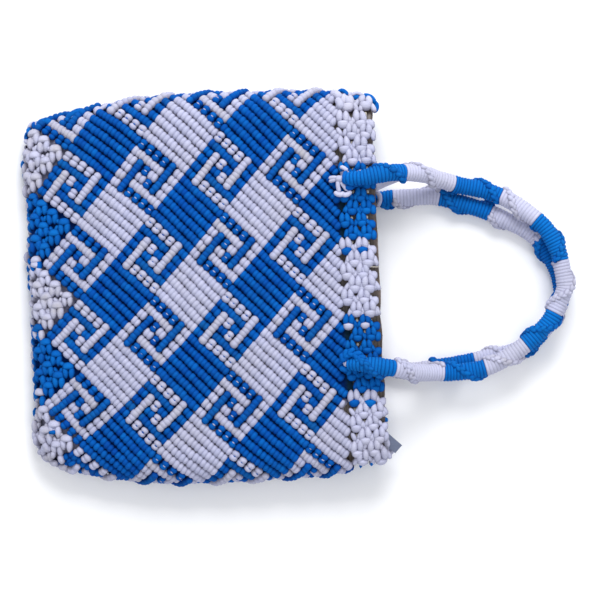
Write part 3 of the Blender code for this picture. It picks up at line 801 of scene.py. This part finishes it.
def lay_knots(batches, specks, knots, parts):
    """Lay square knots on the pouch, each part on the surface at its own place.

    A knot is x, share, way round the girth that it points, colours of its petals and its cap,
    wear, size and whether the lattice or the mouth bounds it.
    """
    x, share, way, petal, cap, wear, size, bounded = (np.array(column) for column in zip(*knots))
    over = share % 1.0 < 0.5
    lean = jitter(len(x), KNOT_LEAN_SPREAD)
    grow = size * (1.0 + jitter(len(x), KNOT_SIZE_SPREAD))
    girth = np.interp(x, STATIONS, GIRTHS)
    for shape, takes, aside, forward, splay, wide, long, high, depth in parts:
        for side in ((-1, 1) if aside else (1,)):
            step_s, step_x = turned(forward / 1000 * grow, aside * side / 1000 * grow, lean)
            x_part = np.clip(x - way * step_x, BOTTOM_X + PROBE_X, MOUTH_X + PAST_MOUTH)
            point, normal, along_x, along_s = surface_frame(x_part, share + way * step_s / girth)
            point = point + along_x * np.maximum(0.0, x_part - MOUTH_X + PROBE_X)[:, None]
            ahead = along_s * way[:, None]
            turn = lean + splay * side + jitter(len(x), TURN_SPREAD)
            right, ahead = turned(np.cross(ahead, normal), ahead, turn[:, None])
            shown = np.full(len(x), True)
            if aside > OUTER_STEP or forward > EAR_STEP:
                outer = bounded & (way * side < 0) & ((x < 0.0) | (forward > EAR_STEP))
                shown = ~outer & ((x < 0.0) | (x_part > BAND_START_X))
            if takes == "core":
                shown = shown & (x_part > BAND_START_X + CORE_CLEAR)
            for front in (True, False):
                for tone in ((0,) if takes == "core" else (0, 1)):
                    alike = (takes == "core") | ((petal if takes == "petal" else cap) == tone)
                    chosen = np.flatnonzero(shown & alike & (over == front))
                    batch = specks if takes == "core" else batches[tone, front]
                    scale = grow[chosen, None] / 1000
                    batch.stamp(shape if front else PLAIN_BEAD, point[chosen] - depth / 1000 * normal[chosen],
                                right[chosen] * wide * scale, ahead[chosen] * long * scale,
                                normal[chosen] * high * scale, wear[chosen])


def mouth_colour(y, over):
    """Cord colour of the band at the mouth, in patches of three rows each."""
    white = math.floor((y / MESH_PITCH + BAND_ROWS / 2) / BAND_ROWS) % 2 == 0
    return int(white == over)


def mouth_x(column, y):
    """Place of a column of the band, which bows towards the corners."""
    middle, extra, _ = MOUTH_COLUMNS[column]
    return middle + extra * float(bow(y))


def mouth_knots():
    """Square knots of the openwork band beside the mouth."""
    knots = []
    for column, (_, _, offset) in enumerate(MOUTH_COLUMNS):
        last = column == len(MOUTH_COLUMNS) - 1
        for over in (True, False):
            for row in np.arange(-MOUTH_ROWS, MOUTH_ROWS + 1) + offset:
                corner = float(abs(row) >= MOUTH_ROWS)
                y = row * MESH_PITCH * (1.0 + CORNER_STRETCH[int(row > 0)] * corner)
                x = mouth_x(column, y) + CORNER_STEP[last] * corner
                if abs(y) > BAND_REACH:
                    continue
                below, above = (mouth_colour(y + s * MESH_PITCH / 4, over) for s in (-1, 1))
                size = (WHITE_KNOT if below else 1.0) * (1.0 + CORNER_GROWTH * corner)
                way = -1.0 if over else 1.0
                knots.append((x, share_of(x, y, over), way, below, above, KNOT_WEAR, size, last))
    return knots


def bottom_knots():
    """Square knots that fill the bottom below the lattice, patch by patch round the pouch."""
    knots = []
    for patch in range(GIRTH_CELLS // 2):
        corner = settle(np.array((patch,), float), np.array((patch + 1,), float))
        x0, share0 = (float(value[0]) for value in corner)
        colour = (patch + 1) % 2
        for step_x, step_y, bounded in BOTTOM_CAPS:
            x = x0 + step_x / 1000
            if x < BOTTOM_X + BOTTOM_CLEAR:
                continue
            share = share0 - step_y / 1000 / float(np.interp(x, STATIONS, GIRTHS))
            petal, cap = colour, 1 - colour if step_y < OTHER_CAP_Y else colour
            if WHITE_SHARES[0] <= share % 1.0 < WHITE_SHARES[1] or share % 1.0 > WHITE_SHARES[2]:
                petal, cap = 1, 1
            way = 1.0 if share % 1.0 < 0.5 else -1.0
            knots.append((x, share, way, petal, cap, *BOTTOM_FINISH[colour], bool(bounded)))
    return knots


def lay_lump(batches, x, y, z, colour, over):
    """Round lump that points out of the closed bottom edge."""
    out = unit(np.array(((x, LUMP_SPLAY * y, LUMP_RISES[over]),)))
    ahead = unit(np.cross(out, UP))
    wide, long, high = LUMP_HALVES
    batches[colour, over].stamp(FINE_BEAD, np.array((x, y, z)) - out * LUMP_SINK,
                                np.cross(ahead, out) * wide, ahead * long, out * high, LUMP_WEAR)


def make_edges(batches):
    """Lumps along the closed bottom edge and at one corner of it, and loops along the mouth."""
    for index in range(EDGE_COUNT):
        y = (index + 0.5 - EDGE_COUNT / 2) * EDGE_PITCH
        x = BOTTOM_X + BOTTOM_CLEAR + EDGE_BEND * max(0.0, (abs(y) - EDGE_BEND_Y) / EDGE_BEND_WIDTH) ** 2
        patch = round((share_of(x, y, True) - LATTICE_PHASE) * GIRTH_CELLS / 2 - 0.5)
        lay_lump(batches, x, y, EDGE_LEVEL, (patch + 1) % 2, True)
    for x, y, colour in BOTTOM_BITS:
        lay_lump(batches, x / 1000, y / 1000, BACK_LEVEL, colour, False)
    for x, y, colour, turn, long, wide in CORNER_LUMPS:
        point, normal, side, ahead = surface_frame(x / 1000, share_of(x / 1000, y / 1000, True))
        along = turned(ahead, side, turn)[0]
        batches[colour, True].stamp(FINE_BEAD, point + CORNER_LIFT * normal, along * long / 1000,
                                    np.cross(normal, along) * wide / 1000, normal * FLAT_HEIGHT, CORNER_WEAR)
    for over in (True, False):
        for row in range(-MOUTH_ROWS + 1, MOUTH_ROWS):
            for step_x, step_y, wide, long in EDGE_LOOPS:
                y = row * MESH_PITCH + step_y
                x = mouth_x(-1, row * MESH_PITCH) + step_x
                point, normal, ahead, side = surface_frame(min(x, MOUTH_X), share_of(MOUTH_X, y, over))
                point = point + ahead * (x - min(x, MOUTH_X - PROBE_X)) - LOOP_SINK * normal
                batches[mouth_colour(y, over), over].stamp(FINE_BEAD, point, ahead * wide, side * long,
                                                           normal * FLAT_HEIGHT)


def round_strand(points, radius):
    """Cord with round ends on a smooth curve through a few points in millimetres."""
    path = smooth_route(points)[0][::2]
    index = np.arange(len(path))
    far = np.minimum(index, index[::-1]) * ROUTE_STEP * 2
    rounding = 1.0 - (1.0 - np.minimum(1.0, (far + STRAND_TIP) / radius)) ** 2
    return strand_shape(path, radius * np.sqrt(np.clip(rounding, LEAST_TIP, 1.0)), STRAND_SIDES)


def capsule(start, end, radius):
    """Short straight cord with round ends."""
    turns = np.linspace(-1.0, 1.0, 9) * math.pi / 2
    path = np.where(turns[:, None] < 0, start, end) + unit(end - start) * radius * np.sin(turns)[:, None]
    return strand_shape(path, np.maximum(radius * np.cos(turns), HITCH_TIP), HITCH_SIDES)


def lay_strands(batches, specks):
    """Single strands at the handles' roots, past the corners and along the folds."""
    for colour, radius, *points in FREE_STRANDS:
        (specks if colour == 2 else batches[colour, True]).add(round_strand(points, radius / 1000))
    for x, y, z, turn in ROOT_HITCHES:
        along, across = turned(*np.eye(3)[:2], turn)
        for step, tilt in HITCH_CORDS:
            middle = np.array((x, y, z)) / 1000 + across * step
            far = turned(along, across, tilt)[0] * HITCH_REACH
            batches[0, True].add(capsule(middle - far, middle + far, HITCH_RADIUS))


def make_bed():
    """Bed of carrier cords under the beads, dark with painted shade."""
    stations = np.concatenate([BOTTOM_X + np.array(BED_STEPS),
                               np.linspace(BOTTOM_X + BED_START, LATTICE_END_X, BED_STATIONS)])
    shares = np.linspace(0.0, 1.0, BED_COLUMNS + 1)[:-1]
    x, share = (grid.ravel() for grid in np.meshgrid(stations, shares, indexing="ij"))
    y_end = surface_frame(np.full(len(x), LATTICE_END_X), share)[0][:, 1]
    white = np.array([mouth_colour(y, part % 1.0 < 0.5) for y, part in zip(y_end, share)])
    # Under the band's blue rows the bed reaches into the holes, where its dark colour is painted shade of the
    # lining
    stop = np.where(white, lattice_end(y_end) - BED_SHORT, LATTICE_END_X + BED_UNDER_BLUE)
    x = BOTTOM_X + (x - BOTTOM_X) * (stop - BOTTOM_X) / (LATTICE_END_X - BOTTOM_X)
    point, normal, _, _ = surface_frame(x, share)
    batch = Batch()
    batch.add((point - GROUND_DEPTH * normal, ring_faces(len(stations), len(shares)),
               np.column_stack([x, share]) * 1000.0, np.zeros(len(x))))
    piece = make_piece("carrier_bed_painted_shade", batch, bed_material(), "knotted_body")
    whiteness = [bed_whiteness(*place) for place in zip(x, share, point[:, 1])]
    piece.data.attributes.new("White", "FLOAT", "POINT").data.foreach_set("value", whiteness)


def bed_whiteness(x, share, y):
    """1 under white patches, 0 under blue ones and under fret cells, -1 for painted shade in the band's blue
    holes.
    """
    m, n = tube_to_lattice(x, share)
    u, v = math.floor(m), math.floor(n)
    if x > LATTICE_END_X - HOLE_REACH and not mouth_colour(y, share % 1.0 < 0.5):
        return -max(0.0, min(1.0, (x - LATTICE_END_X + BED_EDGE) / BED_EDGE))
    if u - v <= -2:
        return BED_PALE * ((math.floor((m + n) / 2) + 1) % 2)
    return float(u % 2) if (u + v) % 2 == 0 else 0.0


def make_lining():
    """Thin satin pouch inside the knotted wall, open at the mouth."""
    stations = np.concatenate([LINING_START_X + np.array(LINING_STEPS),
                               np.linspace(LINING_START_X + LINING_START, MOUTH_X, LINING_STATIONS)])
    turn = angles(LINING_COLUMNS)
    rim_x = LINING_MOUTH_X + sum(high * np.sin(count * turn + phase) for high, count, phase in LINING_WAVES)
    rings = []
    for shift in (0.0, LINING_THICKNESS):
        layer = []
        for x in np.minimum(stations + shift, MOUTH_X):
            outline = section(x, LINING_COLUMNS // 2, WALL + GAP + shift, LINING_START_X + shift)
            layer.append(np.column_stack([np.full(LINING_COLUMNS, x), outline]))
        layer.append(np.column_stack([rim_x, outline]))
        rings += layer[::-1] if shift else layer
    faces = list(ring_faces(len(rings), LINING_COLUMNS))
    for start in (0, (len(rings) - 1) * LINING_COLUMNS):
        for index in range(LINING_COLUMNS // 2):
            pair = (index, index + 1, LINING_COLUMNS - index - 1, LINING_COLUMNS - index)
            faces.append(list(dict.fromkeys(start + k % LINING_COLUMNS for k in pair)))
    points = np.vstack(rings)
    batch = Batch()
    batch.add((points, faces, points[:, :2] * 1000.0, np.zeros(len(points))))
    return make_piece("satin_pouch", batch, satin_material(), "satin_lining")


def route_frames(path):
    """Unit steps ahead, to the left and up along a path that mostly lies flat."""
    ahead = unit(np.gradient(path, axis=0))
    up = np.zeros_like(path)
    middle = len(path) // 2
    up[middle] = UP
    for order in (range(middle, len(path)), range(middle, -1, -1)):
        carried = UP
        for index in order:
            level = UP * (1.0 - abs(ahead[index][2])) * LEVELLING
            carried = unit(carried + level - ahead[index] * np.dot(carried + level, ahead[index]))
            up[index] = carried
    return ahead, np.cross(up, ahead), up


class Route:
    """Centre line of a handle, with its frames and its radius."""

    def __init__(self, points, tip_radius, tip_length, full_at):
        self.path, self.lengths = smooth_route(points)
        self.ahead, self.left, self.up = route_frames(self.path)
        from_end = np.minimum(self.lengths, self.lengths[-1] - self.lengths)
        self.growth = np.clip((from_end - tip_length) / (full_at - tip_length), 0.0, 1.0)
        self.radius = tip_radius + (HANDLE_RADIUS - tip_radius) * self.growth

    def at(self, values, place):
        """Values or vectors at lengths along the route."""
        if values.ndim == 1:
            return np.interp(place, self.lengths, values)
        return np.stack([np.interp(place, self.lengths, column) for column in values.T], axis=-1)

    def ends(self, segments):
        """Lengths at which the segments end, each at the point nearest to its last place."""
        found = [0.0]
        for x, y, _, _ in segments:
            near = np.hypot(self.path[:, 0] - x / 1000, self.path[:, 1] - y / 1000)
            near[self.lengths <= found[-1]] = 1.0
            found.append(self.lengths[int(np.argmin(near))])
        return [*found[1:-1], self.lengths[-1]]


def crest_at(place, start, crossing):
    """Angle from straight up at which the ridge of a segment stands."""
    return -2 * math.pi * (place - start - crossing) / RIDGE_TURN


def wrap_segment(route, batch, start, end, colour, crossing):
    """Turns of cord round one length of a handle, which swell under its ridge."""
    wraps = max(1, round((end - start) / WRAP_PITCH))
    pitch = (end - start) / wraps
    rings = [(start + WRAP_END, -1.0, 0.0)]
    for wrap in range(wraps):
        loose = jitter(1, WRAP_SPREAD)[0]
        rings += [(start + (wrap + part) * pitch, missing, loose) for part, missing in WRAP_PROFILE]
    rings += [(end - WRAP_CLOSE * pitch, 1.0, 0.0), (end - WRAP_END, -1.0, 0.0)]
    place, missing, loose = np.array(rings).T
    capped = missing < 0
    base = route.at(route.radius + WRAP_FULLNESS * route.growth, place)
    reach = np.where(capped, base * CAP_SHARE, base + loose - WRAP_SWELLS[colour] * missing)
    swell = np.where(capped, 0.0, RIDGE_SWELL * route.at(route.growth, place))
    sides = angles(WRAP_SIDES)
    away = (sides - crest_at(place, start, crossing)[:, None] + math.pi) % (2 * math.pi) - math.pi
    full = reach[:, None] + swell[:, None] * np.exp(-(away / RIDGE_WIDTH) ** 2)
    rise, side = (route.at(values, place)[:, None] for values in (route.up, route.left))
    points = route.at(route.path, place)[:, None] + full[:, :, None] * turned(rise, side, sides[:, None])[0]
    strand = np.stack(np.broadcast_arrays(place[:, None] * 1000.0, sides * WRAP_STRANDS), axis=-1)
    # Painted shade in each groove between turns and at the capped ends, as far as the swell is missing
    painted_shade = np.repeat(WRAP_PAINTED_SHADES[colour] * np.abs(missing) ** PAINTED_SHADE_POWER, WRAP_SIDES)
    batch.add((points.reshape(-1, 3), tube_faces(len(rings), WRAP_SIDES), strand.reshape(-1, 2), painted_shade))


def ridge_segment(route, batch, start, end, crossing):
    """Hitches of the ridge that spirals round one length of a handle."""
    stitches = max(1, round((end - start) / RIDGE_STEP))
    for stitch in range(stitches):
        place = start + (stitch + 0.5) * (end - start) / stitches
        middle, side, rise, forward = (route.at(values, place)
                                       for values in (route.path, route.left, route.up, route.ahead))
        reach = route.at(route.radius + (WRAP_FULLNESS + RIDGE_SWELL) * route.growth, place)
        slim = min(1.0, route.at(route.growth, place) + LEAST_RIDGE)
        for step, tilt, long_half, wide_half, high_half in RIDGE_LUMPS:
            out = unit(turned(rise, side, crest_at(place, start, crossing) + step)[0])
            long = turned(forward, np.cross(out, forward), tilt)[0]
            grow = slim * (1.0 + jitter(1, RIDGE_SPREAD)[0])
            axes = np.array((long * long_half, np.cross(out, long) * wide_half, out * high_half)) * grow
            batch.stamp(RIDGE_BEAD, middle + out * (reach - RIDGE_SEAT), *axes[:, None], RIDGE_WEAR)


def make_handle(node_name, route, segments):
    """Handle wrapped in turns of cord, one ridge of hitches spiralling round each length."""
    parts = (Batch(HANDLE_PAINTED_LIGHT_LEVEL), Batch(HANDLE_PAINTED_LIGHT_LEVEL))
    start = 0.0
    for end, (_, _, colour, crossing) in zip(route.ends(segments), segments):
        wrap_segment(route, parts[colour], start, end, colour, crossing / 1000)
        ridge_segment(route, parts[colour], start, end, crossing / 1000)
        start = end
    for batch, (label, material, slot) in zip(parts, CORDS):
        make_piece(f"{node_name}_wraps_{label}", batch, material, node_name)


class Look:
    """A node material that is built up from sockets; plain values are set directly."""

    def __init__(self, name):
        self.material = bpy.data.materials.new(name)
        self.material.use_nodes = True
        self.nodes = self.material.node_tree.nodes

    def put(self, socket, value):
        """Link an output to a socket, or set a number or a colour on it."""
        if hasattr(value, "default_value"):
            self.material.node_tree.links.new(value, socket)
        else:
            socket.default_value = (*value, 1.0) if isinstance(value, tuple) else value

    def node(self, kind, output, inputs, **settings):
        """A node with its settings and inputs; what it gives is one of its outputs."""
        item = self.nodes.new("ShaderNode" + kind)
        for name, setting in settings.items():
            setattr(item, name, setting)
        for key, value in inputs.items():
            self.put(item.inputs[key], value)
        return item.outputs[output]

    def math(self, operation, first, second=0.0):
        """A sum, a product or a sine."""
        return self.node("Math", 0, {0: first, 1: second}, operation=operation)

    def mix(self, factor, first, second, blend="MIX"):
        """Mix two colours."""
        return self.node("Mix", 2, {0: factor, 6: first, 7: second}, data_type="RGBA", blend_type=blend)

    def ramp(self, value, low, high):
        """Value taken from low..high to 0..1."""
        return self.node("MapRange", 0, {"Value": value, "From Min": low, "From Max": high})

    def place(self):
        """The object's own coordinates."""
        return self.node("TexCoord", "Object", {})

    def noise(self, scale, detail=2.0):
        """Noise over the object's own coordinates."""
        return self.node("TexNoise", 0, {"Vector": self.place(), "Scale": scale, "Detail": detail})

    def attribute(self, name):
        """A value stored on the mesh."""
        return self.node("Attribute", "Fac", {}, attribute_name=name)

    def part(self, vector, index):
        """One part of a vector."""
        return self.node("SeparateXYZ", index, {0: vector})

    def braid(self):
        """Fine diagonal braid of the cord, from the strand coordinates in millimetres."""
        strand = self.node("UVMap", 0, {}, uv_map="Strand")
        across, along = (self.math("MULTIPLY", self.part(strand, axis), BRAID[axis]) for axis in (0, 1))
        rising, falling = (self.math("SINE", self.math(way, across, along)) for way in ("ADD", "SUBTRACT"))
        return self.math("MULTIPLY", rising, falling)

    def bump(self, height, strength, distance):
        """Fine relief."""
        return self.node("Bump", 0, {"Height": height, "Strength": strength, "Distance": distance})

    def finish(self, **settings):
        """Set the shader's sockets, with _ for a space in their names, and give the material."""
        for name, setting in settings.items():
            self.put(self.nodes["Principled BSDF"].inputs[name.replace("_", " ")], setting)
        return self.material


def cord_material(name, colour, deep, painted_shade, worn, roughness=0.72):
    """Braided cord with a soft sheen, uneven dye with painted light and shade per part, painted shade low on
    beads and in grooves, and wear.
    """
    look = Look(name)
    # Random tone, shifted by each part's painted light level, between the dark and the light end
    base = look.mix(look.ramp(look.attribute("Tint"), -2.5, 2.5), deep, colour)
    rubbed = look.math("MULTIPLY", look.attribute("Wear"), look.ramp(look.noise(120.0), 0.40, 0.70))
    soiled = look.math("MULTIPLY", look.ramp(look.noise(34.0, 3.0), 0.42, 0.66), 0.22)
    base = look.mix(look.math("ADD", rubbed, soiled), base, worn)
    # Painted shade: mixed in towards the base of each bead and in the grooves of the wraps
    base = look.mix(look.attribute("PaintedShade"), base, painted_shade)
    grain = look.ramp(look.noise(900.0, 1.0), 0.2, 0.8)
    base = look.mix(look.math("MULTIPLY", grain, 0.14), base, deep, "MULTIPLY")
    rough = look.math("ADD", look.math("MULTIPLY", grain, 0.12), roughness)
    height = look.math("ADD", look.braid(), look.math("MULTIPLY", grain, 0.8))
    return look.finish(Base_Color=base, Roughness=rough, Normal=look.bump(height, 0.35, 0.00025),
                       Sheen_Weight=0.08, Sheen_Roughness=0.5, Sheen_Tint=colour, Specular_IOR_Level=0.06)


def bed_material():
    """Cords between the ridges in painted shade: navy under blue, warm grey under white, near-black teal in
    the band's blue holes.
    """
    look = Look("shaded_bed")
    white = look.attribute("White")
    # Painted shade: the bed is much darker than the cords it stands for
    base = look.mix(white, (0.001, 0.020, 0.130), (0.33, 0.31, 0.37))
    # Painted shade of the lining seen through the band's blue holes
    base = look.mix(look.math("MULTIPLY", white, -1.0), base, (0.006, 0.024, 0.046))
    grain = look.math("MULTIPLY", look.ramp(look.noise(420.0), 0.3, 0.8), 0.5)
    base = look.mix(grain, base, (0.1, 0.1, 0.12), "MULTIPLY")
    return look.finish(Base_Color=base, Roughness=0.9, Specular_IOR_Level=0.04)


def satin_material():
    """Brown satin with fine dark stripes round the mouth."""
    look = Look("striped_satin")
    wave = look.math("SINE", look.math("MULTIPLY", look.part(look.place(), 0), 2 * math.pi / STRIPE_PITCH))
    noise = look.noise(160.0)
    base = look.mix(look.ramp(wave, 0.1, 0.8), (0.075, 0.052, 0.042), (0.022, 0.014, 0.012))
    base = look.mix(look.ramp(noise, 0.45, 0.75), base, (0.16, 0.115, 0.10))
    relief = look.bump(noise, 0.3, 0.0006)
    return look.finish(Base_Color=base, Roughness=0.42, Sheen_Weight=0.2, Normal=relief)


def tape_material():
    """Slate tape with a faint grain."""
    look = Look("slate_weave")
    colour = (0.130, 0.155, 0.235)
    grain = look.math("MULTIPLY", look.ramp(look.noise(500.0), 0.3, 0.8), 0.25)
    base = look.mix(grain, colour, tuple(0.5 * part for part in colour))
    return look.finish(Base_Color=base, Roughness=0.8)


# Colours: light and dark end of the tone, between which random tint and each part's painted light level
# choose, painted shade, worn tone
BLUE = cord_material("blue_braid", (0.003, 0.168, 0.560), (0.0004, 0.062, 0.338), (0.0005, 0.018, 0.145),
                     (0.006, 0.085, 0.260))
WHITE = cord_material("white_braid", (0.560, 0.565, 0.725), (0.400, 0.415, 0.575), (0.200, 0.190, 0.260),
                      (0.400, 0.380, 0.390))
CREAM = cord_material("cream_core", (0.620, 0.580, 0.520), (0.500, 0.460, 0.400), (0.300, 0.270, 0.230),
                      (0.420, 0.380, 0.330), 0.75)
CORDS = (("blue", BLUE, "blue_cord"), ("white", WHITE, "white_cord"))


def make_body():
    """Knots, bed and single strands of the pouch."""
    batches = {(colour, over): Batch(LATTICE_PAINTED_LIGHT_LEVEL) for colour in (0, 1) for over in (True, False)}
    specks = Batch()
    make_lattice(batches)
    # Knots laid after the lattice get their own painted light level
    for batch in batches.values():
        batch.painted_light_level = KNOT_PAINTED_LIGHT_LEVEL
    lay_knots(batches, specks, mouth_knots(), MOUTH_PARTS)
    lay_knots(batches, specks, bottom_knots(), BOTTOM_PARTS)
    make_edges(batches)
    lay_strands(batches, specks)
    make_piece("cream_specks", specks, CREAM, "knotted_body")
    make_bed()
    for (colour, over), batch in batches.items():
        label, material, slot = CORDS[colour]
        make_piece(f"{label}_knots_{'front' if over else 'back'}", batch, material, "knotted_body")


def make_camera():
    """Camera straight above, turned as the bag lies in the photograph."""
    data = bpy.data.cameras.new("overhead")
    data.sensor_width = SENSOR
    data.lens = SENSOR * (CAMERA_HEIGHT - SHARP_HEIGHT) / (PHOTO_SIDE * METRES_PER_PIXEL)
    camera = make_object("overhead", data)
    right, down = (METRES_PER_PIXEL * (PHOTO_SIDE / 2 - start) for start in PHOTO_ORIGIN)
    x, y = turned(right, down, -PHOTO_ROLL)
    camera.location = (x + BAG_PLACE[0], BAG_PLACE[1] - y, CAMERA_HEIGHT)
    camera.rotation_euler = (0.0, 0.0, -PHOTO_ROLL)
    bpy.context.scene.camera = camera


def make_light(name, place, size, power):
    """Soft square lamp aimed at the middle of the part."""
    data = bpy.data.lights.new(name, "AREA")
    data.size = size
    data.energy = power
    lamp = make_object(name, data)
    lamp.location = place
    lamp.rotation_euler = (-Vector(place)).to_track_quat("-Z", "Y").to_euler()


def make_floor():
    """Plain pale floor."""
    mesh = bpy.data.meshes.new("floor")
    mesh.from_pydata([(-3, -3, 0), (3, -3, 0), (3, 3, 0), (-3, 3, 0)], [], [(0, 1, 2, 3)])
    mesh.materials.append(Look("pale_floor").finish(Base_Color=FLOOR_COLOUR, Roughness=0.9))
    floor = make_object("floor", mesh)
    floor.location.z = FLOOR_LEVEL


def make_world():
    """Even pale surround."""
    world = bpy.data.worlds.new("surround")
    world.use_nodes = True
    background = world.node_tree.nodes["Background"]
    background.inputs[0].default_value = SURROUND
    background.inputs[1].default_value = SURROUND_STRENGTH
    bpy.context.scene.world = world


make_body()
lining = make_lining()
front = Route(FRONT_ROUTE, tip_radius=0.0041, tip_length=0.0, full_at=0.018)
back = Route(BACK_ROUTE, tip_radius=0.0030, tip_length=0.006, full_at=0.040)
make_handle("front_handle", front, FRONT_SEGMENTS)
make_handle("back_handle", back, BACK_SEGMENTS)
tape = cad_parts["tape_end"]
tape.data.materials.clear()
tape.data.materials.append(tape_material())

make_camera()
make_floor()
make_world()
make_light("key", (0.15, 1.15, 1.05), size=0.8, power=22.0)
make_light("fill", (0.3, -0.5, 1.6), size=1.2, power=5.0)
bpy.context.scene.view_settings.view_transform = "Standard"
